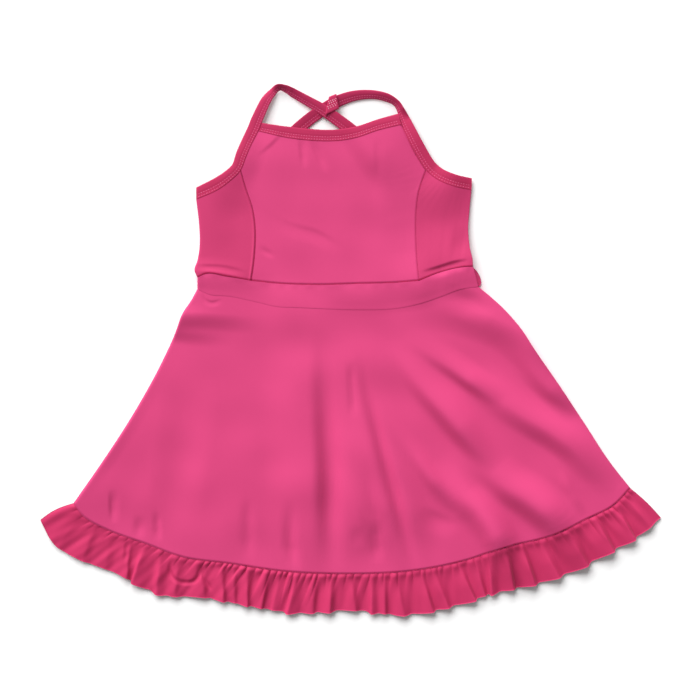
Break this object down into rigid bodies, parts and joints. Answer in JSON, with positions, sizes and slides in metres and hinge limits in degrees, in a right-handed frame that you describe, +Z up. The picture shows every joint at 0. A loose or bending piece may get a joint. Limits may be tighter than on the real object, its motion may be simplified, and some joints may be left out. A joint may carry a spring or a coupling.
{
  "type": "knit dress",
  "caption": "Child's sleeveless knit dress laid flat: princess-seam bodice, crossed back straps, waistband, flared skirt and gathered hem ruffle.",
  "frame": {"origin": "centre of the laid-out dress's outline, on the surface it lies on", "axes": "+X to the right as the front is seen, +Y towards the neckline, +Z up from the surface"},
  "size_m": [0.6221, 0.5301, 0.0103],
  "materials": {
    "knit": "smooth stretch knit with a soft sheen, bright pink",
    "binding": "the same knit folded as binding, with twin-needle stitching",
    "ruffle": "the same knit, gathered"
  },
  "bodies": {
    "root": {"front_centre_panel": "knit", "front_side_panel_left": "knit", "front_side_panel_right": "knit", "back_bodice_panel": "knit", "front_neck_binding": "binding", "back_top_binding": "binding", "strap_front_left": "binding", "strap_front_right": "binding", "strap_back_left": "binding", "strap_back_right": "binding", "strap_keeper": "binding", "waistband_front": "knit", "waistband_back": "knit", "skirt_front": "knit", "skirt_back": "knit", "ruffle_front": "ruffle", "ruffle_back": "ruffle"}
  },
  "joints": []
}
